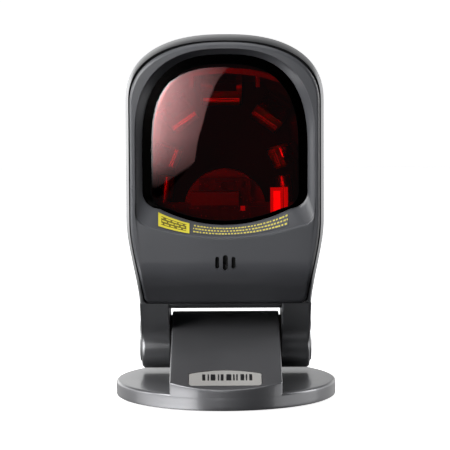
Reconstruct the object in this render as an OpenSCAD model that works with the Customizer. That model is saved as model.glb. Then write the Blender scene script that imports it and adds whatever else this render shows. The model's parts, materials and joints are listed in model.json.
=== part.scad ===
// Hands-free presentation barcode scanner: arched head with a large window on a round weighted stand.
// Millimetres, +Z up, front towards -Y, origin on the floor under the middle of the stand.

/* [Head] */
// height of the top of the head above the floor
total_h = 194; // [170:1:220]
// widest width of the head
head_w = 105.4; // [90:0.2:120]
// width at the waist and across the two fork legs
waist_w = 92; // [80:0.5:100]
// height of the arch that closes the head at the top
arch_h = 36; // [26:1:50]
// front plane of the cover, measured forward from the middle of the stand
front_d = 24; // [18:0.5:30]
// depth of the head behind the middle of the stand
back_d = 48; // [38:1:60]
// wall of the mouldings
wall = 2.4; // [1.6:0.1:3.2]

/* [Window] */
// width of the red window
win_w = 87; // [70:0.5:92]
// height of the lower edge of the window above the floor
win_z0 = 93.7; // [85:0.1:110]
// height of the upper edge of the window above the floor
win_z1 = 183.4; // [160:0.1:186]
// depth of the sloping frame round the window
frame_d = 3.7; // [2:0.1:6]

/* [Pivot] */
// how far behind the middle of the stand the pivot lies
pivot_y = 25; // [10:0.5:35]
// height of the pivot axis
pivot_z = 26.6; // [22:0.2:40]
// radius of the barrels on the neck and the legs
barrel_r = 15.6; // [12:0.2:18]
// radius of the steel pivot shaft
shaft_r = 4; // [2.5:0.5:5]
// radial running clearance of the nylon bushes on the shaft
run_gap = 0.05; // [0.02:0.01:0.1]
// width of the neck between the legs
neck_w = 58.4; // [40:0.2:62]
// side clearance between the neck and each leg
side_gap = 1.1; // [0.6:0.1:2]
// radius of the pivot caps
cap_r = 12; // [9:0.5:13]

/* [Stand] */
// diameter of the round base
base_d = 118; // [100:1:150]
// height of the top of the base
base_h = 9.2; // [7:0.2:14]
// height of the rubber feet
foot_h = 1; // [0.6:0.1:2]
// slope of the neck ramp, degrees
ramp_deg = 20.5; // [15:0.5:26]

/* [Optics] */
// height of the middle of the fan of pattern mirrors
fan_z = 115; // [100:1:130]
// height of the rotor axis
rotor_z = 98; // [85:1:115]
// radius of the motor rotor
rotor_r = 22.5; // [16:0.5:25]

/* [Hidden] */
$fn = 64;
eps = 0.01;
hw = head_w / 2;
ww = waist_w / 2;
neck_x = neck_w / 2;
leg_x = neck_x + side_gap;
waist_z = 48;
chin_z = 75;
chin_r = 22;
chin_a = 42;
lens_y = -front_d + frame_d;
base_r = base_d / 2;
cover_z0 = 50.4;
fan_y = 32;
screw_x0 = 34;
screw_z0 = 64;
screw_x1 = 45.4;
screw_z1 = 138;
board_holes = [[34.4, 96], [32, 76]];
ring_bottom = 4;
ring_corner = 3;
ring_side = 8;
ring_arch = 11;

// ---------------------------------------------------------------- shape functions
function clamp01(t) = min(1, max(0, t));
function smooth(t) = let (u = clamp01(t)) u * u * (3 - 2 * u);
function mixv(a, b, t) = a + (b - a) * t;
// half width of the head at height z, below the arch
function side_x(z) = ww + (hw - ww) * smooth((z - waist_z) / 48);
// front surface of the head in side view: plane, chin curve, then a straight slope to the legs
chin_z1 = chin_z - chin_r * sin(chin_a);
chin_y1 = -front_d + chin_r * (1 - cos(chin_a));
function front_y(z) = z >= chin_z ? -front_d
    : z >= chin_z1 ? -front_d + chin_r - sqrt(chin_r * chin_r - (chin_z - z) * (chin_z - z))
    : chin_y1 + (chin_z1 - z) * tan(chin_a);

// one half of an arched outline, from the bottom centre up to the top centre, as [x, z]
// h half width, z0 bottom, z1 top, ah arch height, n arch exponent, rc corner, rb bottom arc radius,
// wv 1 where the sides follow the waist of the head
function half_outline(h, z0, z1, ah, n, rc, rb, wv) =
    let (sx = function (z) h - wv * (hw - side_x(z)),
         hb = sx(z0) - rc,
         sag = function (x) rb > 0 ? rb - sqrt(rb * rb - x * x) : 0,
         zc = z0 + sag(hb))
    concat(
        [for (i = [0:ring_bottom]) let (x = hb * i / ring_bottom) [x, z0 + sag(x)]],
        [for (i = [1:ring_corner]) let (a = 90 * i / ring_corner, z = zc + rc * (1 - cos(a)))
            [sx(z) - rc * (1 - sin(a)), z]],
        [for (i = [1:ring_side]) let (z = mixv(zc + rc, z1 - ah, i / ring_side)) [sx(z), z]],
        [for (i = [1:ring_arch]) let (a = 90 * i / ring_arch)
            [h * pow(max(0, cos(a)), 2 / n), z1 - ah + ah * pow(sin(a), 2 / n)]]);
function full_outline(p) = let (k = len(p) - 1)
    concat(p, [for (i = [k - 1:-1:1]) [-p[i][0], p[i][1]]]);
function outline(h, z0, z1, ah, n, rc, rb = 0, wv = 0) =
    full_outline(half_outline(h, z0, z1, ah, n, rc, rb, wv));

// the outlines of the front: edge of the cover, edge of the window recess, edge of the window
function edge_outline(d) = outline(hw - 4.1 - d, cover_z0 + 0.3 + d, total_h - 6.1 - 1.4 * d,
    arch_h - 5.5 - d, 2.2, max(4 - d, 1), 0, 1);
function recess_outline(d) = outline(win_w / 2 + 2.8 - d, win_z0 - 6.9 + d, win_z1 + 2.9 - d,
    46 - d, 2.5, 7, 129, 0);
function window_outline(d) = outline(win_w / 2 - d, win_z0 + 0.45 * d, win_z1 - 1.07 * d,
    50 - d, 2.6, 9, 73, 0);

function at_y(p, y) = [for (q = p) [q[0], y, q[1]]];
function on_front(p, dy) = [for (q = p) [q[0], front_y(q[1]) + dy, q[1]]];
function blend(p, q, t) = [for (i = [0:len(p) - 1]) mixv(p[i], q[i], t)];
function shrink(p, s, zc) = [for (q = p) [q[0] * s, zc + (q[1] - zc) * s]];
function centre(r) = (r[0] + r[len(r) / 2]) / 2;

// closed skin over a list of rings with the same number of points; the two end caps rise by peak
module skin(rings, loop = false, peak = 0) {
    m = len(rings);
    n = len(rings[0]);
    last = loop ? m - 1 : m - 2;
    points = concat([for (r = rings) each r], loop ? []
        : [centre(rings[0]) + [0, peak, 0], centre(rings[m - 1]) + [0, peak, 0]]);
    sides = [for (i = [0:last], j = [0:n - 1])
        let (a = i * n + j, b = i * n + (j + 1) % n,
             c = ((i + 1) % m) * n + (j + 1) % n, d = ((i + 1) % m) * n + j)
        each [[a, c, b], [a, d, c]]];
    caps = loop ? [] : [for (j = [0:n - 1])
        each [[m * n, j, (j + 1) % n], [m * n + 1, (m - 1) * n + (j + 1) % n, (m - 1) * n + j]]];
    polyhedron(points, concat(sides, caps));
}

// ---------------------------------------------------------------- helpers
module along_x(x0, x1, r, fn = 64) {
    translate([x0, pivot_y, pivot_z]) rotate([0, 90, 0]) cylinder(r = r, h = x1 - x0, $fn = fn);
}
// disc with its upper edge rounded by e
module round_disc(r, h, e) {
    rotate_extrude($fn = 128) union() {
        square([r - e, h]);
        square([r, h - e]);
        translate([r - e, h - e]) circle(e, $fn = 48);
    }
}
module along_y(x, y0, y1, z, r, fn = 64) {
    translate([x, y1, z]) rotate([90, 0, 0]) cylinder(r = r, h = y1 - y0, $fn = fn);
}
module block(x0, x1, y0, y1, z0, z1) {
    translate([x0, y0, z0]) cube([x1 - x0, y1 - y0, z1 - z0]);
}
// side-view polygon, given as [y, z], pulled out along X
module side_plate(x0, x1, pts) {
    translate([x0, 0, 0]) rotate([90, 0, 90]) linear_extrude(x1 - x0) polygon(pts);
}
// local X points away from the middle of the mirror fan at angle a
module fan(a) {
    translate([0, 0, fan_z]) rotate([0, -a, 0]) children();
}
module both_sides() {
    children();
    mirror([1, 0, 0]) children();
}

// ---------------------------------------------------------------- head mouldings
// rings of the rear shell: inset and set-back of the lip, then the domed back
function shell_ring(d, z0, dy) = on_front(outline(hw - d, z0, total_h - 1.57 * d,
    arch_h - 1.57 * d, 2.4, 3, 0, 1), dy);
function back_scale(a) = pow(max(cos(a), 0), 2 / 3);
function dome_ring(a, d) =
    let (s = back_scale(a), y = 22 + (back_d - 0.5 - d - 22) * pow(sin(a), 2 / 3), z0 = 46.6 + d)
    [for (q = outline(hw - d, z0, total_h - d, arch_h - d, 2.4, 3, 0, 1))
        let (e = mixv(0.3, 1, smooth((q[1] - z0) / 60)))
        [q[0] * pow(s, e), y, z0 + (q[1] - z0) * mixv(s, pow(s, 0.9), e)]];
module shell_skin() {
    outer = concat(
        [for (a = [87, 79, 68, 54, 38, 20, 0]) dome_ring(a, 0)],
        [shell_ring(0, 47, 24), shell_ring(0.3, 47.3, 15), shell_ring(1, 47.7, 9),
         shell_ring(2.2, 48.4, 5.6), shell_ring(3.5, cover_z0, 3.2)]);
    inner = concat(
        [shell_ring(3.5 + wall, cover_z0 + wall, 3.2), shell_ring(0.4 + wall, 48.4 + wall, 15)],
        [for (a = [0, 20, 38, 54, 68, 79, 86]) dome_ring(a, wall)]);
    skin(concat(outer, inner), false, 0.5);
}
// one fork leg with its barrel, on the +X side
module leg() {
    translate([leg_x, pivot_y, pivot_z]) rotate([0, 90, 0]) round_disc(barrel_r, ww - leg_x, 2);
    side_plate(leg_x, ww - 0.1, [[front_y(49) + 0.15, 49], [front_y(24) + 0.15, 24],
        [pivot_y, pivot_z - 2], [pivot_y + barrel_r - 0.25, pivot_z - 2], [pivot_y + barrel_r - 0.25, 49]]);
}
module rear_shell() {
    color("#b9b7b4") difference() {
        union() {
            shell_skin();
            both_sides() leg();
            both_sides() {
                along_y(screw_x1, 12, 39, screw_z1, 4.2);
                along_y(screw_x0, 12, 45.6, screw_z0, 4.4);
            }
        }
        both_sides() {
            along_x(leg_x - 1, ww + 1, shaft_r + 2.5);
            along_x(37, ww + 1, 10.5);
            along_x(43.4, ww + 1, cap_r + 0.05);
            along_y(screw_x1, 11, back_d + 1, screw_z1, 1.6);
            along_y(screw_x0, 11, back_d + 1, screw_z0, 1.6);
            along_y(screw_x1, 32, back_d + 1, screw_z1, 3.2);
            along_y(screw_x0, 34, back_d + 1, screw_z0, 3.2);
            along_y(screw_x1 + 0.2, -22, 11.9, screw_z1, 2.8);
            block(33, 43, 3, 37, 41, 56);
        }
        block(-7.6, 7.6, 40, back_d + 1, 56.9, 70.1);
        block(-16.1, 16.1, 46.6, back_d + 1, 75.9, 94.1);
        skin([at_y(recess_outline(-0.15), lens_y + 0.9), at_y(recess_outline(-0.15), lens_y - 0.7)]);
    }
}
module front_cover() {
    recess = recess_outline(0);
    color("#4e4e50") difference() {
        union() {
            skin(concat(
                [on_front(edge_outline(0), 3), on_front(edge_outline(0), 0.9),
                 on_front(edge_outline(0.7), 0.05)],
                [for (t = [0.12, 0.3, 0.5, 0.7, 0.88]) on_front(blend(edge_outline(0.7), recess, t), 0)],
                [on_front(recess, 0), on_front(recess_outline(0.3), 0.3),
                 at_y(window_outline(0), lens_y), at_y(window_outline(0), lens_y + 2.6),
                 on_front(recess, wall + 0.8)],
                [for (t = [0.7, 0.35]) on_front(blend(edge_outline(wall), recess, t), wall)],
                [on_front(edge_outline(wall), 3)]), true);
            both_sides() {
                along_y(screw_x1 + 0.2, -20.8, 11.8, screw_z1, 2.6);
                along_y(screw_x0, -17.4, 11.8, screw_z0, 3.6);
            }
        }
        both_sides() {
            along_y(screw_x1, -2, 12, screw_z1, 1.15);
            along_y(screw_x0, -2, 12, screw_z0, 1.15);
        }
        for (i = [-1:1]) let (h = i == 0 ? 8.2 : 6.4, w = i == 0 ? 2.6 : 2.1)
            hull() for (z = [73.9 - h / 2 + w / 2, 73.9 + h / 2 - w / 2])
                along_y(i * 4.3, -27, -15, z, w / 2, 24);
    }
}
module window_lens() {
    gap = 0.12;
    color("#7a0d12") skin(concat(
        [for (s = [0.3, 0.65]) at_y(shrink(window_outline(6), s, 138), lens_y + 1.7)],
        [at_y(window_outline(6), lens_y + 1.7), at_y(window_outline(gap), lens_y + 1.8),
         at_y(window_outline(gap), lens_y - 0.2), at_y(window_outline(0.5), lens_y - 0.35),
         at_y(window_outline(6), lens_y - 1.6)],
        [for (s = [0.85, 0.6, 0.3]) at_y(shrink(window_outline(6), s, 138),
            lens_y - 1.6 - 1.3 * (1 - s * s))]));
}
module window_gasket() {
    color("#141414") skin([
        at_y(window_outline(4.5), lens_y + 1.82), at_y(window_outline(4.5), lens_y + 2.7),
        at_y(window_outline(0.12), lens_y + 2.7), at_y(window_outline(0.12), lens_y + 1.82)], true);
}
// point on the sloping sill under the window: x across, u from the outer to the inner edge
function sill(x, u, lift) =
    let (za = win_z0 - 6.9 + 129 - sqrt(129 * 129 - x * x), zb = win_z0 + 73 - sqrt(73 * 73 - x * x),
         n = [0, -0.88, 0.47])
    [x, mixv(-front_d, lens_y, u), mixv(za, zb, u)] + n * lift;
module sill_strip(x0, x1, u0, u1, lift, thick, steps) {
    skin([for (i = [0:steps]) let (x = mixv(x0, x1, i / steps))
        [sill(x, u0, lift), sill(x, u1, lift), sill(x, u1, lift + thick), sill(x, u0, lift + thick)]]);
}
module caution_label() {
    color("#d9b22c") sill_strip(-35.2, -18.8, 0.16, 0.8, 0.3, 0.2, 8);
}
module print_strip() {
    color("#2b2a27") sill_strip(-16.8, 33, 0.22, 0.84, 0.3, 0.12, 16);
}

// ---------------------------------------------------------------- optics
module mirror_plate(a, ri, w, l, off = 0) {
    fan(a) translate([0, 0, off]) linear_extrude(w, center = true)
        polygon([[ri, fan_y], [ri + l, fan_y - l], [ri + l + 1.3, fan_y - l + 1.3],
                 [ri + 1.3, fan_y + 1.3]]);
}
module mirror_wedge(a, ri, w, l, off = 0) {
    fan(a) translate([0, 0, off]) linear_extrude(w - 4, center = true)
        polygon([[ri + 1.4 + eps, fan_y + 1.35 + eps], [ri + l + 1.36, fan_y - l + 1.4 + eps],
                 [ri + l + 3.4, fan_y - l + 1.4], [ri + l + 3.4, 36.2], [ri + 1.4 + eps, 36.2]]);
}
module optics_chassis() {
    color("#1d1d1f") difference() {
        union() {
            difference() {
                translate([0, 38, 0]) rotate([90, 0, 0]) linear_extrude(2)
                    polygon([[-36, 73], [36, 73], [38, 118], [34, 152], [20, 168], [-20, 168],
                             [-34, 152], [-38, 118]]);
                along_y(0, 30, 40, rotor_z, 12);
            }
            mirror_wedge(90, 41, 22.5, 16, 1.8);
            both_sides() {
                mirror_wedge(55, 36.6, 17.4, 14);
                mirror_wedge(22, 28, 12.4, 11);
                for (p = board_holes) along_y(p[0], 10.2, 36.5, p[1], 3);
            }
            difference() {
                block(-36.5, 36.5, 10.2, 36.5, 80, 82.4);
                block(-18, 18, 0, 35.4, 79, 83);
            }
        }
        both_sides() for (p = board_holes) along_y(p[0], 9, 22, p[1], 1.1);
    }
}
module top_rail() {
    r = 92;
    color("#8f8f92") intersection() {
        difference() {
            along_y(0, 6, 15.5, 176 - r, r);
            along_y(0, 5, 16, 176 - r, r - 3);
            along_y(0, 8.2, 16, 176 - r, r - 1.2);
        }
        block(-30, 30, 5, 31, 150, 180);
    }
    color("#8f8f92") both_sides() block(17, 19, 7.6, 36, 165.5, 173.4);
}
module mirror_top() {
    color("#c9ced4") mirror_plate(90, 41, 22.5, 16, 1.8);
}
module mirror_upper_right() {
    color("#c9ced4") mirror_plate(55, 36.6, 17.4, 14);
}
module mirror_upper_left() {
    mirror([1, 0, 0]) mirror_upper_right();
}
module mirror_lower_right() {
    color("#c9ced4") mirror_plate(22, 28, 12.4, 11);
}
module mirror_lower_left() {
    mirror([1, 0, 0]) mirror_lower_right();
}
// spring clip that hooks over the inner edge of a pattern mirror
module clip(a, ri, w, off = 0) {
    fan(a) translate([0, 0, off]) linear_extrude(w, center = true)
        polygon([[ri + 0.6, 36], [ri - 0.8, 36], [ri - 0.8, fan_y - 1], [ri + 1.4, fan_y - 3.2],
                 [ri + 2, fan_y - 2.6], [ri - 0.1, fan_y - 0.4], [ri - 0.1, fan_y + 1.2],
                 [ri + 0.6, fan_y + 1.5]]);
}
module mirror_clips() {
    color("#b4b6b8") {
        clip(90, 41, 20, 1.8);
        both_sides() {
            clip(55, 36.6, 15);
            clip(22, 28, 10);
        }
    }
}
module laser_right() {
    color("#a98b4a") {
        translate([33.2, 23, 104]) rotate([0, -8, 0]) {
            cylinder(r = 4.2, h = 13);
            translate([0, 0, -3]) cylinder(r = 3.1, h = 3 + eps);
        }
    }
}
module laser_left() {
    mirror([1, 0, 0]) laser_right();
}
module motor_base() {
    color("#77797c") difference() {
        union() {
            along_y(0, 35, 38.5, rotor_z, 11.8);
            along_y(0, 38.2, 41.5, rotor_z, 15);
            along_y(0, 31, 35.2, rotor_z, 4.5);
        }
        along_y(0, 30, 40, rotor_z, 1.5 + run_gap);
    }
}
module motor_rotor() {
    color("#3a3b3e") {
        difference() {
            along_y(0, 26, 34.6, rotor_z, rotor_r, 96);
            along_y(0, 29.4, 34.7, rotor_z, rotor_r - 2);
        }
        along_y(0, 12.6, 39.5, rotor_z, 1.5);
    }
}
module polygon_mirror() {
    color("#d4d8dc") difference() {
        translate([0, 25.9, rotor_z]) rotate([90, 22.5, 0]) cylinder(r1 = 18, r2 = 16.6, h = 11, $fn = 8);
        along_y(0, 12, 27, rotor_z, 1.5);
    }
}
module detector_board() {
    color("#26482f") difference() {
        union() {
            block(-14, 14, 6.9, 8.5, 101.7, 117);
            block(-5, 4.7, 2.6, 6.9 + eps, 110.6, 115.2);
        }
        along_y(-10, 4, 9, 113, 1.1);
        along_y(10, 4, 9, 113, 1.1);
    }
}
module collector_lens() {
    color("#5d1014") along_y(-0.15, 1.2, 2.58, 112.9, 2.1, 48);
}
module main_pcb() {
    color("#1c3b2a") difference() {
        union() {
            block(-38, 38, 8.6, 10.2, 71, 103.4);
            block(-9, 9, 8.6, 10.2, 58, 72);
        }
        both_sides() for (p = board_holes) along_y(p[0], 8, 11, p[1], 1.4);
    }
}
module pcb_chips() {
    color("#232325") {
        for (i = [0:8]) let (x = -30 + i * 5.6, h = 2.2 + 1.4 * ((i * 5) % 3), t = 1 + 0.5 * (i % 3))
            if (i != 7) block(x, x + 3.6, 8.6 - t, 8.6, 98.6 - h / 2, 98.6 + h / 2);
        for (i = [0:9]) let (x = -31 + i * 5, t = 0.8 + 0.3 * (i % 2))
            block(x, x + 2.4, 8.6 - t, 8.6, 93.2, 94.6);
        block(13.5, 22, 4.6, 8.6, 93.8, 101.2);
        block(-18, -6, 6.4, 8.6, 73, 87);
        block(-34, -26, 6.8, 8.6, 80, 90);
        block(10, 24, 6.6, 8.6, 76, 88);
    }
}
module pcb_shield() {
    color("#8b8d90") difference() {
        block(-18.4, 7.4, -2, 6.85, 102.6, 109.6);
        block(-17.4, 6.4, -1, 7, 101, 108.6);
    }
}
module ribbon_socket() {
    color("#c5161d") difference() {
        block(24.5, 31.2, 1, 8.5, 90.5, 111.4);
        block(26, 29.7, 0, 6.5, 92, 110);
    }
}
module flat_cable() {
    color("#b8232a") {
        block(31.6, 33.8, 2, 3, 88.5, 111.4);
        block(31.6, 33.8, 2, 8.5, 111, 111.6);
    }
}
module status_led() {
    color("#ff2a1f") {
        along_y(9.6, 5.4, 7.4, 100.2, 1.2, 32);
        block(8.4, 10.8, 7.4, 8.6, 99, 101.5);
    }
}
module beeper() {
    color("#17181a") difference() {
        along_y(0, -15.5, -8, 73.9, 9);
        along_y(0, -16, -14.5, 73.9, 2);
    }
    color("#17181a") both_sides() block(3, 5, -8.2, 8.55, 72.6, 75.4);
}
module interface_jack() {
    color("#202124") difference() {
        block(-7.5, 7.5, 34, 47.4, 57, 70);
        block(-5.9, 5.9, 36.5, 48, 59.2, 66.4);
        block(-3, 3, 36.5, 48, 66, 68.6);
    }
    color("#202124") both_sides() block(4, 6.5, 10.25, 34.1, 61, 64);
}
module jack_contacts() {
    color("#c8a24a") for (i = [-3.5:1:3.5])
        translate([i * 1.02, 0, 0]) side_plate(-0.2, 0.2, [[36.5, 59.2], [37.2, 59.2], [44, 62.4],
            [43.7, 62.9], [37, 59.8], [36.5, 59.8]]);
}
module case_screws() {
    color("#55575a") both_sides()
        for (p = [[screw_x1, screw_z1, 32], [screw_x0, screw_z0, 34]]) difference() {
            union() {
                along_y(p[0], p[2] + 0.02, p[2] + 2.4, p[1], 3);
                along_y(p[0], 2, p[2] + 1, p[1], 1.14);
            }
            along_y(p[0], p[2] + 1, p[2] + 3, p[1], 1.3, 6);
        }
}
module board_screws() {
    color("#9a9ca0") both_sides() for (p = board_holes) difference() {
        union() {
            along_y(p[0], 6.6, 8.6, p[1], 2.6);
            along_y(p[0], 8.6 - eps, 18, p[1], 1.05);
        }
        block(p[0] - 1.8, p[0] + 1.8, 6, 7.4, p[1] - 0.35, p[1] + 0.35);
        block(p[0] - 0.35, p[0] + 0.35, 6, 7.4, p[1] - 1.8, p[1] + 1.8);
    }
}
module rating_plate() {
    color("#c9c7c0") block(-16, 16, 46.62, 46.92, 76, 94);
}
module pivot_cap_right() {
    color("#8f8e8c") translate([43.45, pivot_y, pivot_z]) rotate([0, 90, 0]) {
        cylinder(r = cap_r, h = 2.8);
        translate([0, 0, 2.8 - eps]) cylinder(r1 = cap_r, r2 = cap_r - 0.7, h = 0.7);
    }
}
module pivot_cap_left() {
    mirror([1, 0, 0]) pivot_cap_right();
}
module bush_right() {
    color("#e6e2d6") difference() {
        union() {
            along_x(leg_x, 37, shaft_r + 2.5);
            along_x(37, 38, 8.5);
        }
        along_x(leg_x - 1, 39, shaft_r + run_gap);
    }
}
module bush_left() {
    mirror([1, 0, 0]) bush_right();
}

// ---------------------------------------------------------------- stand
// ramp of the neck in side view, inset by d from the top face
function ramp_pts(d, z0) =
    let (r = barrel_r - 0.25, y1 = pivot_y - r * sin(ramp_deg), z1 = pivot_z + r * cos(ramp_deg),
         ya = -base_r - 2, n = [sin(ramp_deg), -cos(ramp_deg)] * d)
    [[ya, z0], [ya, z1 - (y1 - ya) * tan(ramp_deg)] + n, [y1, z1] + n, [pivot_y + n[0], pivot_z - 2],
     [pivot_y + r - d, pivot_z - 2], [pivot_y + r - d, z0]];
module base_housing() {
    color("#6b6966") difference() {
        union() {
            translate([0, 0, foot_h]) round_disc(base_r, base_h - foot_h, 1.6);
            intersection() {
                side_plate(-neck_x + 0.05, neck_x - 0.05, ramp_pts(0, foot_h + 3));
                cylinder(r = base_r - 0.15, h = 60, $fn = 128);
            }
            along_x(-neck_x, neck_x, barrel_r);
        }
        translate([0, 0, -1]) cylinder(r = base_r - wall, h = 8, $fn = 128);
        difference() {
            intersection() {
                side_plate(-neck_x + wall, neck_x - wall, ramp_pts(2.6, 0));
                translate([0, 0, -1]) cylinder(r = base_r - wall - 0.6, h = 60, $fn = 128);
            }
            along_x(-neck_x, neck_x, shaft_r + 3);
            translate([-2, pivot_y - barrel_r + 1, 9]) cube([4, 2 * barrel_r - 2, 30]);
        }
        along_x(-neck_x - 1, neck_x + 1, shaft_r + 0.02);
        badge_shape(0.15, 1.2, 1);
    }
    color("#6b6966") for (a = [45:90:315]) rotate(a) translate([49.5, 0, 2.9]) difference() {
        cylinder(r = 3, h = 4.2);
        translate([0, 0, -1]) cylinder(r = 1.2, h = 4.4);
    }
}
module base_weight() {
    color("#4a4c50") difference() {
        translate([0, 0, 3]) cylinder(r = 46, h = 3.7, $fn = 128);
        for (a = [30:120:270]) rotate(a) translate([36, 0, 0]) cylinder(r = 2.2, h = 9);
    }
}
module base_cover() {
    color("#2d2d2f") difference() {
        union() {
            translate([0, 0, foot_h + 0.1]) cylinder(r = base_r - wall - 0.3, h = 1.8, $fn = 128);
            for (a = [30:120:270]) rotate(a) translate([36, 0, 2.8]) cylinder(r = 2.1, h = 3.6);
        }
        for (a = [45:90:315]) rotate(a) translate([49.5, 0, 0]) {
            cylinder(r = 1.5, h = 9);
            cylinder(r = 3, h = 2);
        }
        for (a = [0:90:270]) rotate(a) translate([45, 0, 0]) cylinder(r = 7, h = 1.6);
    }
}
module base_feet() {
    color("#161616") for (a = [0:90:270]) rotate(a) translate([45, 0, 0]) {
        cylinder(r = 6.9, h = 1.58);
    }
}
module base_screws() {
    color("#9a9ca0") for (a = [45:90:315]) rotate(a) translate([49.5, 0, 1.15]) difference() {
        union() {
            cylinder(r = 2.7, h = 0.85);
            cylinder(r = 1.15, h = 4.6);
        }
        translate([0, 0, -1]) cylinder(r = 1, h = 1.5, $fn = 6);
    }
}
// arched plate lying in a shallow recess in the ramp
module badge_shape(grow, depth, lift) {
    y0 = -46;
    z0 = pivot_z + (barrel_r - 0.25) / cos(ramp_deg) - (pivot_y - y0) * tan(ramp_deg);
    translate([-0.3, y0, z0]) rotate([ramp_deg, 0, 0]) translate([0, 0, -depth])
        linear_extrude(depth + lift) intersection() {
            offset(r = 2.5 + grow) square([32.6, 12], center = true);
            translate([0, -44]) circle(51.4 + grow, $fn = 96);
        }
}
module badge() {
    color("#a7a6a2") badge_shape(0, 1.15, -0.25);
}
module pivot_shaft() {
    color("#a9abad") along_x(-43, 43, shaft_r);
}
module friction_washers() {
    color("#3b2f2a") both_sides() difference() {
        along_x(neck_x + 0.02, leg_x - 0.12, 13.5);
        along_x(neck_x - 1, leg_x, shaft_r + 0.02);
    }
}
module spring_washers() {
    color("#b4b6b8") both_sides() difference() {
        along_x(38.1, 38.7, 7);
        along_x(38, 39, shaft_r + 0.02);
    }
}
module pivot_nuts() {
    color("#c2c4c6") both_sides() difference() {
        along_x(38.75, 42.2, 7.4, 6);
        along_x(38, 43, shaft_r + 0.01);
    }
}

front_cover();
rear_shell();
window_lens();
window_gasket();
caution_label();
print_strip();
optics_chassis();
top_rail();
mirror_top();
mirror_upper_left();
mirror_upper_right();
mirror_lower_left();
mirror_lower_right();
mirror_clips();
laser_left();
laser_right();
motor_base();
motor_rotor();
polygon_mirror();
detector_board();
collector_lens();
main_pcb();
pcb_chips();
pcb_shield();
ribbon_socket();
flat_cable();
status_led();
beeper();
interface_jack();
jack_contacts();
case_screws();
board_screws();
rating_plate();
pivot_cap_left();
pivot_cap_right();
bush_left();
bush_right();
base_housing();
base_weight();
base_cover();
base_feet();
base_screws();
badge();
pivot_shaft();
friction_washers();
spring_washers();
pivot_nuts();
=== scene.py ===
"""Looks of the hands-free presentation scanner: smooth housings, red window, lit optics, studio."""

import json
import math

import bmesh
import bpy
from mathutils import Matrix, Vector


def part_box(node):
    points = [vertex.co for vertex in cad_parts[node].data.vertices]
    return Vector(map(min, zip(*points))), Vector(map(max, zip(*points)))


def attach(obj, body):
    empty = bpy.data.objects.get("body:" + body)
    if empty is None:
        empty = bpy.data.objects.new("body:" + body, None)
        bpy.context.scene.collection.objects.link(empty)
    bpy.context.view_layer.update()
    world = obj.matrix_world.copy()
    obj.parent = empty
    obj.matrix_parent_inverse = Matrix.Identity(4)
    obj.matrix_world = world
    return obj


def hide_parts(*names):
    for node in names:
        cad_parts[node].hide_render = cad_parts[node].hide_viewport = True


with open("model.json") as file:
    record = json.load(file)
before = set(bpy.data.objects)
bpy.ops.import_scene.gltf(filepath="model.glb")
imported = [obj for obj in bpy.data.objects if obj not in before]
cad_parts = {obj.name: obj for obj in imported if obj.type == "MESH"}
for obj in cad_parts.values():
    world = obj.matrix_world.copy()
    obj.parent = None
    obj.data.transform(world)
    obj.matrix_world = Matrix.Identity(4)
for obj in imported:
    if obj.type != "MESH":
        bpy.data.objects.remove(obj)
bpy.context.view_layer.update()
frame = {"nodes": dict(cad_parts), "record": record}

MM = 0.001


def mm_box(node):
    """Low and high corner of a CAD node, in millimetres."""
    low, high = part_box(node)
    return [v / MM for v in low], [v / MM for v in high]


def mix(a, b, t):
    """Value between a (t=0) and b (t=1)."""
    return a + (b - a) * t


def smooth(t):
    """Eased step from 0 to 1."""
    t = min(1.0, max(0.0, t))
    return t * t * (3 - 2 * t)


# ------------------------------------------------------------------ sizes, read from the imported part
shell_lo, shell_hi = mm_box("rear_shell")
cover_lo, _ = mm_box("front_cover")
lens_lo, lens_hi = mm_box("window_lens")
base_lo, base_hi = mm_box("base_housing")
tilt = next(j for j in frame["record"]["behaviour"]["joints"] if j["name"] == "head_tilt")

HALF_W = shell_hi[0]
TOP = shell_hi[2]
BACK = shell_hi[1]
FRONT = -cover_lo[1]
COVER_Z0 = cover_lo[2] - 0.3
WINDOW_W = lens_hi[0] + 0.12
WINDOW_Z0, WINDOW_Z1 = lens_lo[2] - 0.05, lens_hi[2] + 0.13
PIVOT_Y, PIVOT_Z = tilt["pos_m"][1] / MM, tilt["pos_m"][2] / MM
BARREL = PIVOT_Z - shell_lo[2]  # radius of the round ends of the fork legs and of the neck
BASE_R = base_hi[0]
FOOT = base_lo[2]  # underside of the base housing

WAIST = 46.0  # half width of the head at its foot
WAIST_Z0, WAIST_Z1 = 48.0, 96.0  # between these heights the sides widen
ARCH = 36.0  # height of the arched top
WALL = 2.4  # of the head's housings
SEAM, SEAM_TOP = 2.9, 4.3  # from the side and the top of the head in to the edge of the front cover
SOFT_EDGE = 1.4  # width of the rounding of that edge
LIP_Z0, LIP_DEPTH = 47, 24  # back end of the rear shell's lip: underside, and depth behind the front
DOME_Y, DOME_Z0, DOME_FOOT_R = 22, 46.6, 3.2  # start, underside and lower rounding of the domed back
CHIN_Z, CHIN_R, CHIN_A = 75.0, 22.0, math.radians(42)  # start, radius and angle of the chin's curve
CHIN_Z1 = CHIN_Z - CHIN_R * math.sin(CHIN_A)
CHIN_Y1 = -FRONT + CHIN_R * (1 - math.cos(CHIN_A))
LENS_Y = -FRONT + 3.7  # inner end of the sill, where the window sits
NECK_X, LEG_X = 29.2, 30.3  # side of the neck, inner side of the fork legs
LEG_Z1 = 50.5  # height where the fork legs end inside the head
CAP_SEAT_R, CAP_SEAT = 12.15, 2.4  # radius and depth of the seats of the pivot caps
BASE_TOP = 9.2
RAMP = math.radians(20.5)  # slope of the neck's ramp
BEEPER_SLOTS = (0, 69.8, 78, 1.3), (-4.3, 70.7, 77.1, 1.05), (4.3, 70.7, 77.1, 1.05)  # x, z0, z1, radius
SOCKET_X, SOCKET_Z = 7.6, 6.6  # half sizes of the opening for the interface jack
WINDOW_RIM = 4.7  # width of the window's bevelled border
WINDOW_MID, WINDOW_DOME = 138, 1.3  # height of the middle of the window's dome, and its rise
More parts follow.
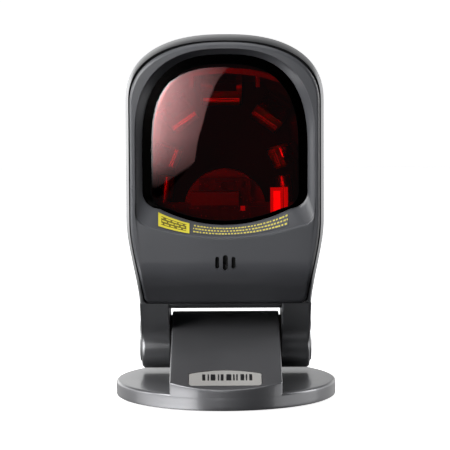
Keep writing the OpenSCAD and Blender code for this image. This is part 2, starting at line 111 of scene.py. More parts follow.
WINDOW_SAG, RECESS_SAG = 73, 129  # radii of the lower edges of the window and of the recess round it
RECESS_DROP = 6.9  # from the lower edge of the window down to that of the recess
SHARP = 38  # degrees between faces from which an edge of a housing stays crisp
LOW_SCREW, HIGH_SCREW = (34, 64), (45.4, 138)  # (x, z) of the case screws
BADGE_X, BADGE_Y = -0.3, -46  # middle of the badge on the ramp
BARS = (  # gap before each bar of the badge, and the bar's width
    (0, 1.6), (1.2, 0.7), (0.9, 2.4), (1.3, 0.7), (0.8, 1.4), (1.5, 2.6),
    (0.9, 0.8), (0.8, 0.8), (1.4, 1.9), (0.9, 0.7), (1.1, 1.5),
)
BAR_START, BAR_HALF = -12.0, 3.2  # where the row of bars starts, and half a bar's height


# ------------------------------------------------------------------ shapes
def side_x(z):
    """Half width of the head below its arch."""
    return WAIST + (HALF_W - WAIST) * smooth((z - WAIST_Z0) / (WAIST_Z1 - WAIST_Z0))


def front_y(z):
    """Front of the head in side view: plane, chin curve, straight slope."""
    if z >= CHIN_Z:
        return -FRONT
    if z >= CHIN_Z1:
        return -FRONT + CHIN_R - math.sqrt(CHIN_R**2 - (CHIN_Z - z) ** 2)
    return CHIN_Y1 + (CHIN_Z1 - z) * math.tan(CHIN_A)


def outline(half, z0, z1, arch, power, corner, bottom_r=0.0, waist=0.0):
    """Arched outline as (x, z) points, anticlockwise from the bottom centre."""

    def sx(z):
        return half - waist * (HALF_W - side_x(z))

    def sag(x):
        return bottom_r - math.sqrt(bottom_r**2 - x * x) if bottom_r else 0.0

    flat = sx(z0) - corner
    zc = z0 + sag(flat)
    pts = [(flat * i / 20, z0 + sag(flat * i / 20)) for i in range(21)]
    for i in range(1, 11):
        a = math.pi / 2 * i / 10
        z = zc + corner * (1 - math.cos(a))
        pts.append((sx(z) - corner * (1 - math.sin(a)), z))
    for i in range(1, 37):
        z = mix(zc + corner, z1 - arch, i / 36)
        pts.append((sx(z), z))
    for i in range(1, 49):
        a = math.pi / 2 * i / 48
        pts.append((
            half * max(0.0, math.cos(a)) ** (2 / power),
            z1 - arch + arch * math.sin(a) ** (2 / power),
        ))
    return pts + [(-x, z) for x, z in reversed(pts[1:-1])]


def edge_outline(d):
    """Outer edge of the front cover, moved in by d."""
    top, arch = TOP - SEAM_TOP - 1.4 * d, ARCH - 3.9 - d
    return outline(HALF_W - SEAM - d, COVER_Z0 + 0.3 + d, top, arch, 2.3, max(4 - d, 1), waist=1)


def recess_outline(d):
    """Outer edge of the recess round the window, moved in by d."""
    bottom, top = WINDOW_Z0 - RECESS_DROP + d, WINDOW_Z1 + 3.1 - d
    return outline(WINDOW_W + 3.9 - d, bottom, top, 47 - d, 2.5, 7, RECESS_SAG)


def window_outline(d):
    """Edge of the window, moved in by d."""
    return outline(WINDOW_W - d, WINDOW_Z0 + 0.45 * d, WINDOW_Z1 - 1.07 * d, 50 - d, 2.6, 9, WINDOW_SAG)


def shell_outline(d, z0):
    """Side and top of the rear shell, moved in by d, from height z0 up."""
    return outline(HALF_W - d, z0, TOP - 1.57 * d, ARCH - 1.57 * d, 2.4, 3, waist=1)


def at_y(points, y):
    """Points of an outline on an upright plane."""
    return [(x, y, z) for x, z in points]


def on_front(points, dy):
    """Points of an outline at a depth dy behind the front of the head."""
    return [(x, front_y(z) + dy, z) for x, z in points]


def blend(p, q, t):
    """Outline between two with the same number of points."""
    return [(mix(a[0], b[0], t), mix(a[1], b[1], t)) for a, b in zip(p, q)]


def shrink(points, s, zc):
    """Outline scaled by s about (0, zc)."""
    return [(x * s, zc + (z - zc) * s) for x, z in points]


def rectangle(x, z0, z1):
    """Corners of a rectangle centred on x=0."""
    return [(-x, z0), (x, z0), (x, z1), (-x, z1)]


# ------------------------------------------------------------------ mesh tools
def make(name, body, verts, faces, sharp=SHARP):
    """A smooth mesh object in metres that rides on a CAD body."""
    mesh = bpy.data.meshes.new(name)
    mesh.from_pydata([(x * MM, y * MM, z * MM) for x, y, z in verts], [], faces)
    mesh.validate()
    bm = bmesh.new()
    bm.from_mesh(mesh)
    bmesh.ops.remove_doubles(bm, verts=bm.verts, dist=1e-7)
    bmesh.ops.recalc_face_normals(bm, faces=bm.faces)
    bm.to_mesh(mesh)
    bm.free()
    mesh.shade_smooth()
    mesh.set_sharp_from_angle(angle=math.radians(sharp))
    obj = bpy.data.objects.new(name, mesh)
    bpy.context.collection.objects.link(obj)
    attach(obj, body)
    return obj


def skin(rings, loop=False):
    """Vertices and faces of a skin over rings with the same number of points."""
    n, m = len(rings[0]), len(rings)
    verts = [p for ring in rings for p in ring]
    faces = []
    for i in range(m if loop else m - 1):
        for j in range(n):
            a, b = i * n + j, i * n + (j + 1) % n
            k = (i + 1) % m
            faces.append((a, b, k * n + (j + 1) % n, k * n + j))
    if not loop:
        faces.append(tuple(range(n))[::-1])
        faces.append(tuple(range((m - 1) * n, m * n)))
    return verts, faces


def joined(*parts):
    """One set of vertices and faces from several."""
    verts, faces = [], []
    for v, f in parts:
        k = len(verts)
        verts += v
        faces += [tuple(i + k for i in face) for face in f]
    return verts, faces


def carve(obj, *cutters):
    """Cuts closed (verts, faces) shapes out of an object."""
    verts, faces = joined(*cutters)
    mesh = bpy.data.meshes.new("cutter")
    mesh.from_pydata([(x * MM, y * MM, z * MM) for x, y, z in verts], [], faces)
    tool = bpy.data.objects.new("cutter", mesh)
    bpy.context.collection.objects.link(tool)
    bm = bmesh.new()
    bm.from_mesh(mesh)
    bmesh.ops.recalc_face_normals(bm, faces=bm.faces)
    bm.to_mesh(mesh)
    bm.free()
    cut = obj.modifiers.new("cut", "BOOLEAN")
    cut.operation, cut.solver, cut.object = "DIFFERENCE", "EXACT", tool
    bpy.context.view_layer.update()
    result = bpy.data.meshes.new_from_object(obj.evaluated_get(bpy.context.evaluated_depsgraph_get()))
    obj.modifiers.remove(cut)
    obj.data = result
    bpy.data.objects.remove(tool)
    result.set_sharp_from_angle(angle=math.radians(SHARP))


def capsule(x, y0, y1, z0, z1, r):
    """Upright slot cutter along Y with round ends."""
    ring = []
    for start, middle in ((0, z1 - r), (math.pi, z0 + r)):
        for i in range(17):
            a = start + math.pi * i / 16
            ring.append((x + r * math.cos(a), middle + r * math.sin(a)))
    return skin([at_y(ring, y0), at_y(ring, y1)])


def disc_cut(x, z, y0, y1, r):
    """Round cutter along Y."""
    return capsule(x, y0, y1, z - r, z + r, r)


def bevel(obj, width):
    """Small rounded edges on a CAD node."""
    edge = obj.modifiers.new("edge", "BEVEL")
    edge.width, edge.segments = width * MM, 3
    edge.limit_method, edge.angle_limit = "ANGLE", math.radians(40)
    edge.harden_normals = True


# ------------------------------------------------------------------ housings
def build_front_cover():
    """Front cover: soft edge, flat surround, recess with its sill, opening, back, beeper slots."""
    outer, recess, window = edge_outline(0), recess_outline(0), window_outline(0)
    rings = [on_front(outer, 3.0), on_front(outer, 1.3)]
    for i in range(1, 7):
        t, a = i / 6, math.pi / 2 * i / 6
        across, depth = mix(t, 1 - math.cos(a), 0.4), mix(1 - t, 1 - math.sin(a), 0.4)
        rings.append(on_front(edge_outline(SOFT_EDGE * across), 1.3 * depth))
    inner_edge = edge_outline(SOFT_EDGE)
    rings += [on_front(blend(inner_edge, recess, i / 40), 0) for i in range(1, 40)]
    for i in range(0, 5):
        a = math.pi / 2 * i / 4
        rings.append(on_front(recess_outline(0.5 * math.sin(a)), 0.5 * (1 - math.cos(a))))
    sill_top = recess_outline(0.5)
    for i in range(1, 7):
        sill = blend(sill_top, window_outline(-0.25), i / 6)
        rings.append(at_y(sill, mix(-FRONT + 0.5, LENS_Y - 0.2, i / 6)))
    rings += [at_y(window, LENS_Y), at_y(window, LENS_Y + 2.6), on_front(recess, WALL + 0.8)]
    rings += [on_front(blend(edge_outline(WALL), recess, t), WALL) for t in (0.8, 0.6, 0.4, 0.2)]
    rings.append(on_front(edge_outline(WALL), 3.0))
    obj = make("cover_front", "head", *skin(rings, True))
    carve(obj, *[capsule(x, -27, -15, z0, z1, r) for x, z0, z1, r in BEEPER_SLOTS])
    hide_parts("front_cover")
    return obj


def dome_ring(t, d):
    """Ring of the domed back, from its start at t=0 to the middle of the back at t=1."""
    a = math.pi / 2 * t
    s = max(math.cos(a), 0.0) ** (2 / 3)
    y = DOME_Y + (BACK - d - DOME_Y) * math.sin(a) ** (2 / 3)
    z0 = DOME_Z0 + d
    r = DOME_FOOT_R
    near = max(0.0, (y - (BACK - d - r)) / r)
    lift = r * (1 - math.sqrt(max(0.0, 1 - near * near)))
    ring = []
    for x, z in outline(HALF_W - d, z0, TOP - d, ARCH - d, 2.4, 3, waist=1):
        e = mix(0.3, 1.0, smooth((z - z0) / 60))
        zz = z0 + (z - z0) * mix(s, s**0.9, e)
        ring.append((x * s**e, y, zz + lift * (1 - smooth((zz - z0) / 12))))
    return ring


def lip_ring(u):
    """Ring of the shell's lip: soft round at the head, tighter and flush at the chin."""
    soft, tight = (1 - u) ** 3.4, (1 - u) ** 14
    a = shell_outline(2.2 * soft, LIP_Z0 + (COVER_Z0 - LIP_Z0) * soft)
    b = shell_outline(2.2 * tight, LIP_Z0 + (COVER_Z0 - LIP_Z0) * tight)
    ring = []
    for p, q in zip(a, b):
        k = smooth((p[1] - 50) / 32)
        x, z = mix(q[0], p[0], k), mix(q[1], p[1], k)
        ring.append((x, front_y(z) + mix(0.35, 1.9, k) * (1 - u) + LIP_DEPTH * u, z))
    return ring


def shell_skin():
    """Rear shell with its lip, domed back and inner face."""
    lip = [lip_ring((i / 18) ** 1.6) for i in range(19)]
    outer = lip + [dome_ring((i / 30) ** 1.35, 0) for i in range(0, 30)]
    inner = [dome_ring(t, WALL) for t in (0.97, 0.85, 0.7, 0.5, 0.3, 0.1, 0)]
    inner.append(on_front(shell_outline(0.4 + WALL, 47.6 + WALL), 15))
    inner.append(on_front(shell_outline(2.2 + 0.9, COVER_Z0 + WALL - 0.6), 3.2))
    return skin(outer[::-1] + inner[::-1])


def leg_profile(inset):
    """Side view of a fork leg as (y, z): slope, hollow, barrel, back."""
    r = BARREL - inset
    pts = []
    z_join, fillet = 29.2, 5.0  # hollow between the slope and the barrel
    for i in range(12):
        z = mix(LEG_Z1, z_join + fillet, i / 11)
        pts.append((front_y(z) + inset, z))
    a0 = math.radians(187)
    start = pts[-1]
    end = (PIVOT_Y + r * math.cos(a0), PIVOT_Z + r * math.sin(a0))
    knee = (front_y(z_join) + inset, z_join)
    for i in range(1, 9):
        t = i / 9
        pts.append(tuple(
            (1 - t) ** 2 * start[k] + 2 * t * (1 - t) * knee[k] + t * t * end[k] for k in (0, 1)
        ))
    for i in range(41):
        a = mix(a0, 2 * math.pi, i / 40)
        pts.append((PIVOT_Y + r * math.cos(a), PIVOT_Z + r * math.sin(a)))
    for i in range(1, 7):
        pts.append((PIVOT_Y + r, mix(PIVOT_Z, LEG_Z1, i / 6)))
    return pts


def leg(side):
    """Fork leg with rounded outer edge and a round seat for the pivot cap."""
    edge = 2
    last = leg_profile(edge)

    def ring(x, inset):
        return [(side * x, y, z) for y, z in leg_profile(inset)]

    def seat(x, r):
        out = []
        for y, z in last:
            d = math.hypot(y - PIVOT_Y, z - PIVOT_Z)
            out.append((side * x, PIVOT_Y + (y - PIVOT_Y) / d * r, PIVOT_Z + (z - PIVOT_Z) / d * r))
        return out

    rings = [ring(LEG_X, 0.5), ring(LEG_X + 0.5, 0), ring(WAIST - edge, 0)]
    for i in range(1, 7):
        a = math.pi / 2 * i / 6
        rings.append(ring(WAIST - edge + edge * math.sin(a), edge * (1 - math.cos(a))))
    rings += [seat(WAIST, CAP_SEAT_R + 0.25), seat(WAIST - 0.25, CAP_SEAT_R)]
    rings.append(seat(WAIST - CAP_SEAT, CAP_SEAT_R))
    return skin(rings)


def circle(r, steps):
    """Points of a circle round the origin."""
    turns = [2 * math.pi * i / steps for i in range(steps)]
    return [(r * math.cos(a), r * math.sin(a)) for a in turns]


def boss(x, z, y_seat, y_end, r):
    """Tube along Y that carries a case screw, with a seat for its head."""
    profile = [(12, r), (y_end, r), (y_end, 3.2), (y_seat, 3.2), (y_seat, 1.2), (12, 1.2)]
    return skin([[(x + u, y, z + v) for u, v in circle(q, 48)] for y, q in profile], True)


def build_rear_shell():
    """Rear shell with its openings, the tubes of the case screws, and the fork legs."""
    obj = make("shell_rear", "head", *shell_skin(), 40)
    jack_lo, jack_hi = mm_box("interface_jack")
    jz = (jack_lo[2] + jack_hi[2]) / 2
    socket = rectangle(SOCKET_X, jz - SOCKET_Z, jz + SOCKET_Z)
    plate_lo, plate_hi = mm_box("rating_plate")
    seat = rectangle(plate_hi[0] + 0.1, plate_lo[2] - 0.1, plate_hi[2] + 0.1)
    out = BACK + 2
    wells = []
    for hole, floor_y in ((socket, 40), (seat, plate_lo[1] - 0.02)):
        wells.append(skin([at_y(hole, floor_y), at_y(hole, out)]))
    for s in (-1, 1):
        for (x, z), floor_y in ((LOW_SCREW, 36), (HIGH_SCREW, 34)):
            wells.append(disc_cut(s * x, z, floor_y, out, 3.2))
    carve(obj, *wells)
    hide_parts("rear_shell")
    tubes = []
    for (x, z), y_seat, y_end, r in ((LOW_SCREW, 34, 45.6, 4.4), (HIGH_SCREW, 32, 39, 4.2)):
        tubes += [boss(s * x, z, y_seat, y_end, r) for s in (-1, 1)]
    bosses = make("screw_bosses", "head", *joined(*tubes), 30)
    legs = make("fork_legs", "head", *joined(leg(-1), leg(1)), 30)
    return obj, legs, bosses


def dome(rim):
    """Rings of a shallow dome inside the window's bevel, from its rim to the middle."""
    rings, edge = [], window_outline(WINDOW_RIM)
    for i in range(22):
        k = 1 - i / 22
        rings.append(at_y(shrink(edge, k, WINDOW_MID), rim - WINDOW_DOME * (1 - k * k)))
    return rings


def build_window():
    """Moulded window of even thickness: bevelled border and shallow dome on both faces."""
    back, front, inner = LENS_Y + 0.65, LENS_Y - 1.6, WINDOW_RIM - 0.3
    rings = dome(back)[::-1]
    for i in range(1, 5):
        rings.append(at_y(window_outline(mix(inner, 0.5, i / 4)), mix(back + 0.05, LENS_Y + 1.75, i / 4)))
    rings += [at_y(window_outline(0.12), LENS_Y + 1.8), at_y(window_outline(0.12), LENS_Y - 0.2)]
    rings += [at_y(window_outline(0.25), LENS_Y - 0.32), at_y(window_outline(0.5), LENS_Y - 0.38)]
    for i in range(1, 5):
        rings.append(at_y(window_outline(mix(0.5, inner, i / 4)), mix(LENS_Y - 0.38, front + 0.05, i / 4)))
    obj = make("window", "head", *skin(rings + dome(front)), 30)
    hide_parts("window_lens")
    return obj


def sill_point(x, u, lift):
    """Point on the sloping sill under the window, from its outer edge (u=0) to its inner edge."""
    za = WINDOW_Z0 - RECESS_DROP + RECESS_SAG - math.sqrt(RECESS_SAG**2 - x * x)
    zb = WINDOW_Z0 + WINDOW_SAG - math.sqrt(WINDOW_SAG**2 - x * x)
    return (x, mix(-FRONT, LENS_Y, u) - 0.88 * lift, mix(za, zb, u) + 0.47 * lift)


def sill_label(name, node, u0, u1, thick):
    """Thin label that follows the sill, with UV running along and across it."""
    lo, hi = mm_box(node)
    rings = []
    for i in range(49):
        x = mix(lo[0], hi[0], i / 48)
        rings.append([sill_point(x, u, k) for u, k in ((u0, 0.02), (u1, 0.02), (u1, thick), (u0, thick))])
    obj = make(name, "head", *skin(rings), 30)
    uv = obj.data.uv_layers.new(name="label").data
    for loop in obj.data.loops:
        co = obj.data.vertices[loop.vertex_index].co / MM
        low, high = sill_point(co.x, u0, thick), sill_point(co.x, u1, thick)
        uv[loop.index].uv = ((co.x - lo[0]) / (hi[0] - lo[0]), (co.z - low[2]) / (high[2] - low[2]))
    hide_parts(node)
    return obj


def lathe(profile):
    """Closed solid turned about the Z axis from (r, z) points."""
    return skin([[(x, y, z) for x, y in circle(r, 160)] for r, z in profile])


def ramp_top(y):
    """Height of the ramp's top line, which is tangent to the barrel."""
    return PIVOT_Z + (BARREL - 0.02) / math.cos(RAMP) - (PIVOT_Y - y) * math.tan(RAMP)


def neck_skin():
    """Ramp and barrel of the stand, with rounded edges, rising flush from the rim of the base."""
    tangent = (PIVOT_Y - BARREL * math.sin(RAMP), PIVOT_Z + BARREL * math.cos(RAMP))
    edge = 0.85
    front_r = BASE_R - 0.01

    def line(x, drop):
        """Profile at x, pulled in by drop along the surface."""
        yf = -math.sqrt(front_r**2 - x * x)
        pts = [(yf + drop, BASE_TOP - 1.6), (yf + drop, mix(BASE_TOP, ramp_top(yf), 0.3))]
        r = 0.9
        corner = (yf + r, ramp_top(yf + r) - r)
        for i in range(0, 7):
            a = mix(math.pi, math.pi / 2 + RAMP, i / 6)
            pts.append((corner[0] + (r - drop) * math.cos(a), corner[1] + (r - drop) * math.sin(a)))
        for i in range(1, 30):
            y = mix(yf + r, tangent[0], i / 30)
            pts.append((y + drop * math.sin(RAMP), ramp_top(y) - drop * math.cos(RAMP)))
        for i in range(0, 25):
            a = mix(math.pi / 2 + RAMP, 0, i / 24)
            pts.append((PIVOT_Y + (BARREL - drop) * math.cos(a), PIVOT_Z + (BARREL - drop) * math.sin(a)))
        pts.append((PIVOT_Y + BARREL - drop, BASE_TOP - 0.5))
        return [(x, y, z) for y, z in pts]

    left = []
    for i in range(0, 6):
        a = math.pi / 2 * i / 5
        left.append(line(-(NECK_X - edge) - edge * math.cos(a), edge * (1 - math.sin(a))))
    middle = [line(mix(-(NECK_X - edge), NECK_X - edge, i / 24), 0) for i in range(1, 24)]
    right = [[(-x, y, z) for x, y, z in col] for col in reversed(left)]
    cols = left + middle + right
    verts = [p for col in cols for p in col]
    n = len(cols[0])
    faces = [
        (i * n + j, (i + 1) * n + j, (i + 1) * n + j + 1, i * n + j + 1)
        for i in range(len(cols) - 1) for j in range(n - 1)
    ]
    faces += [(i * n + n - 1, (i + 1) * n + n - 1, (i + 1) * n, i * n) for i in range(len(cols) - 1)]
    faces.append(tuple(range(n)))
    faces.append(tuple(range((len(cols) - 1) * n, len(cols) * n))[::-1])
    return verts, faces


def badge_outline(grow):
    """Rounded rectangle with an arched upper edge, as (across, along the ramp) points."""
    half_w, half_d, r = 18.8 + grow, 8.5 + grow, 2.5 + grow
    arc_r, arc_c = 51.4 + grow, -44.0
    pts = []
    corners = ((1, -1, -90), (1, 1, 0), (-1, 1, 90), (-1, -1, 180))
    for side, end, a0 in corners:
        cx, cy = side * (half_w - r), end * (half_d - r)
        for i in range(9):
            a = math.radians(a0 + 90 * i / 8)
            x, v = cx + r * math.cos(a), cy + r * math.sin(a)
            pts.append((x, min(v, arc_c + math.sqrt(arc_r**2 - x * x))))
        if a0 == 0:
            for i in range(1, 24):
                x = mix(half_w - r, -half_w + r, i / 24)
                pts.append((x, min(half_d, arc_c + math.sqrt(arc_r**2 - x * x))))
    return pts


def on_ramp(points, lift):
    """Puts (across, along) points on the ramp round the middle of the badge."""
    out = []
    for x, v in points:
        y = BADGE_Y + v * math.cos(RAMP) - lift * math.sin(RAMP)
        out.append((x + BADGE_X, y, ramp_top(BADGE_Y) + v * math.sin(RAMP) + lift * math.cos(RAMP)))
    return out


def build_badge():
    """Badge plate in its recess, with a row of plain bars."""
    plate = badge_outline(0)
    rings = [on_ramp(plate, -1.1), on_ramp(plate, -0.35), on_ramp(badge_outline(-0.15), -0.2)]
    obj = make("badge_plate", "stand", *skin(rings), 40)
    x, marks = BAR_START, []
    for gap, wide in BARS:
        x += gap
        bar = [(x, -BAR_HALF), (x + wide, -BAR_HALF), (x + wide, BAR_HALF), (x, BAR_HALF)]
        marks.append(skin([on_ramp(bar, -0.3), on_ramp(bar, -0.12)]))
        x += wide
    bars = make("badge_bars", "stand", *joined(*marks), 30)
    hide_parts("badge")
    return obj, bars


def build_base():
    """Round base with softened edges, and the neck with the badge's recess."""
    e = 1.6
    foot = ((3, 0.8), (1.6, 0.2), (0.6, 0.05), (0.15, 0.3), (0, 0.8))
    profile = [(BASE_R - r, FOOT + z) for r, z in foot]
    profile += [(BASE_R, mix(FOOT + 0.8, BASE_TOP - e, i / 4)) for i in range(1, 4)]
    for i in range(0, 9):
        a = math.pi / 2 * i / 8
        profile.append((BASE_R - e + e * math.cos(a), BASE_TOP - e + e * math.sin(a)))
    profile += [(mix(BASE_R - e, 2, i / 8), BASE_TOP) for i in range(1, 9)]
    obj = make("stand_disc", "stand", *lathe(profile), 40)
    neck = make("stand_neck", "stand", *neck_skin(), 30)
    carve(neck, skin([on_ramp(badge_outline(0.3), -1.15), on_ramp(badge_outline(0.3), 3)]))
    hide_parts("base_housing")
    return obj, neck


# ------------------------------------------------------------------ materials
def graph(name):
    """A new material and its empty node tree."""
    mat = bpy.data.materials.new(name)
    mat.use_nodes = True
    tree = mat.node_tree
    tree.nodes.clear()
    return mat, tree


def add(tree, kind, inputs=None, **props):
    """A shader node with its properties and inputs set; an input that is a socket is linked."""
    node = tree.nodes.new("ShaderNode" + kind)
    for key, value in props.items():
        setattr(node, key, value)
    for key, value in (inputs or {}).items():
        socket = node.inputs[key]
        if isinstance(value, bpy.types.NodeSocket):
            tree.links.new(value, socket)
        else:
            socket.default_value = value
    return node


def output(tree, shader):
    """Shows a shader on the surface."""
    add(tree, "OutputMaterial", {"Surface": shader})


def ramp(tree, fac, stops):
    """Colour ramp from (position, colour or grey) stops."""
    node = add(tree, "ValToRGB", {"Fac": fac})
    el = node.color_ramp.elements
    while len(el) < len(stops):
        el.new(0.5)
    for e, (pos, col) in zip(el, stops):
        e.position = pos
        e.color = (*col, 1.0) if isinstance(col, tuple) else (col, col, col, 1.0)
    return node.outputs["Color"]


def mixed(tree, factor, a, b, blend="MIX"):
    """Colour mixed from a and b, which are sockets or colours."""
    a, b = ((*c, 1) if isinstance(c, tuple) else c for c in (a, b))
    node = add(tree, "Mix", {"Factor": factor, "A": a, "B": b}, data_type="RGBA", blend_type=blend)
    return node.outputs["Result"]


def shade(color, k):
    """Colour made darker or lighter by a factor."""
    return tuple(c * k for c in color)


def grained(
    name, color, rough, grain, bump, spread=0.12, metallic=0.0, coat=0.0, coat_rough=0.2, spec=0.5, glow=0.0
):
    """Moulded or painted surface: fine grain, faint colour and gloss variation; a glow above 0 paints light
    into it as emission in its own colour.
    """
    mat, t = graph(name)
    coord = add(t, "TexCoord").outputs["Object"]
    fine = add(t, "TexNoise", {"Vector": coord, "Scale": grain, "Detail": 3.0}).outputs["Fac"]
    wide = add(t, "TexNoise", {"Vector": coord, "Scale": 28.0, "Detail": 2.0}).outputs["Fac"]
    base = ramp(t, wide, [(0.35, shade(color, 1 - spread)), (0.65, shade(color, 1 + spread))])
    gloss = ramp(t, wide, [(0.3, rough * 0.9), (0.7, min(1.0, rough * 1.1))])
    normal = add(t, "Bump", {"Height": fine, "Strength": bump, "Distance": 0.0002}).outputs["Normal"]
    shader = add(t, "BsdfPrincipled", {
        "Base Color": base, "Roughness": gloss, "Metallic": metallic, "Normal": normal,
        "Coat Weight": coat, "Coat Roughness": coat_rough, "Specular IOR Level": spec,
        "Emission Color": (*color, 1), "Emission Strength": glow,
    })
    output(t, shader.outputs["BSDF"])
    return mat


def brushed(name, color, rough, axis):
    """Metal with fine lines along one axis."""
    mat, t = graph(name)
    coord = add(t, "TexCoord").outputs["Object"]
    stretch = [2500.0, 2500.0, 2500.0]
    stretch[axis] = 60.0
    lines = add(t, "Mapping", {"Vector": coord, "Scale": stretch}).outputs["Vector"]
    noise = add(t, "TexNoise", {"Vector": lines, "Scale": 1.0, "Detail": 2.0}).outputs["Fac"]
    base = ramp(t, noise, [(0.3, shade(color, 0.82)), (0.7, shade(color, 1.12))])
    gloss = ramp(t, noise, [(0.3, rough * 0.8), (0.7, rough * 1.25)])
    normal = add(t, "Bump", {"Height": noise, "Strength": 0.1, "Distance": 0.0001}).outputs["Normal"]
    shader = add(t, "BsdfPrincipled", {
        "Base Color": base, "Roughness": gloss, "Metallic": 1.0, "Normal": normal,
    })
    output(t, shader.outputs["BSDF"])
    return mat


def silvered(name):
    """Mirror glass with a faint unevenness."""
    mat, t = graph(name)
    coord = add(t, "TexCoord").outputs["Object"]
    noise = add(t, "TexNoise", {"Vector": coord, "Scale": 160.0, "Detail": 2.0}).outputs["Fac"]
    gloss = ramp(t, noise, [(0.4, 0.03), (0.8, 0.1)])
    base = ramp(t, noise, [(0.3, (0.78, 0.8, 0.84)), (0.7, (0.9, 0.92, 0.95))])
    shader = add(t, "BsdfPrincipled", {"Base Color": base, "Roughness": gloss, "Metallic": 1.0})
    output(t, shader.outputs["BSDF"])
    return mat


def red_filter(name, tint, gloss, rough):
    """Dark red acrylic: tinted see-through with a polished face."""
    mat, t = graph(name)
    coord = add(t, "TexCoord").outputs["Object"]
    wave = add(t, "TexNoise", {"Vector": coord, "Scale": 14.0, "Detail": 1.0}).outputs["Fac"]
    tints = ramp(t, wave, [(0.3, shade(tint, 0.94)), (0.7, shade(tint, 1.06))])
    fresnel = add(t, "Fresnel", {"IOR": 1.49}).outputs["Fac"]
    through = add(t, "BsdfTransparent", {"Color": tints}).outputs["BSDF"]
    shine = add(t, "BsdfGlossy", {"Color": (*gloss, 1), "Roughness": rough}).outputs["BSDF"]
    shader = add(t, "MixShader", {0: fresnel, 1: through, 2: shine})
    output(t, shader.outputs["Shader"])
    return mat


def circuit(name):
    """Solder mask with pale tracks and pads."""
    mat, t = graph(name)
    coord = add(t, "TexCoord").outputs["Object"]
    voronoi = add(t, "TexVoronoi", {"Vector": coord, "Scale": 420.0}, distance="MANHATTAN")
    cells = voronoi.outputs["Distance"]
    pads = ramp(t, cells, [(0.16, (0.42, 0.4, 0.34)), (0.2, (0.012, 0.05, 0.025))])
    brick = add(t, "TexBrick", {
        "Vector": coord, "Color1": (0.014, 0.06, 0.03, 1), "Color2": (0.01, 0.045, 0.022, 1),
        "Mortar": (0.03, 0.12, 0.06, 1), "Scale": 320.0, "Mortar Size": 0.04,
    }).outputs["Color"]
    base = mixed(t, 0.5, pads, brick)
    normal = add(t, "Bump", {"Height": cells, "Strength": 0.2, "Distance": 0.0003}).outputs["Normal"]
    shader = add(t, "BsdfPrincipled", {"Base Color": base, "Roughness": 0.35, "Normal": normal})
    output(t, shader.outputs["BSDF"])
    return mat


def maths(tree, op, a, b=0.0, c=0.0):
    """Result of a Math node."""
    return add(tree, "Math", {0: a, 1: b, 2: c}, operation=op).outputs[0]


def between(tree, value, low, high):
    """1 where a value lies between two limits, else 0."""
    above = maths(tree, "GREATER_THAN", value, low)
    return maths(tree, "MULTIPLY", above, maths(tree, "LESS_THAN", value, high))


def printed(name, ground, panel, ink, across, rows, weight, u_range, v_range):
    """Label with a panel of plain dashes in place of wording."""
    mat, t = graph(name)
    uv = add(t, "SeparateXYZ", {0: add(t, "TexCoord").outputs["UV"]})
    u, v = uv.outputs[0], uv.outputs[1]
    area = maths(t, "MULTIPLY", between(t, u, *u_range), between(t, v, *v_range))
    row = maths(t, "MULTIPLY", maths(t, "SUBTRACT", v, v_range[0]), rows / (v_range[1] - v_range[0]))
    line = between(t, maths(t, "FRACT", row), 0.5 - weight / 2, 0.5 + weight / 2)
    number = maths(t, "FLOOR", row)
    step = maths(t, "ADD", maths(t, "MULTIPLY", u, across), maths(t, "MULTIPLY", number, 0.37))
    cell = add(t, "CombineXYZ", {0: maths(t, "FLOOR", step), 1: number}).outputs[0]
    length = add(t, "TexWhiteNoise", {"Vector": cell}).outputs["Value"]
    dash = maths(t, "LESS_THAN", maths(t, "FRACT", step), maths(t, "MULTIPLY_ADD", length, 0.35, 0.5))
    mark = maths(t, "MULTIPLY", area, maths(t, "MULTIPLY", line, dash))
    base = mixed(t, mark, mixed(t, area, ground, panel), ink)
    shader = add(t, "BsdfPrincipled", {"Base Color": base, "Roughness": 0.45})
    output(t, shader.outputs["BSDF"])
    return mat


GREY, YELLOW = (0.078, 0.08, 0.088), (0.78, 0.68, 0.05)

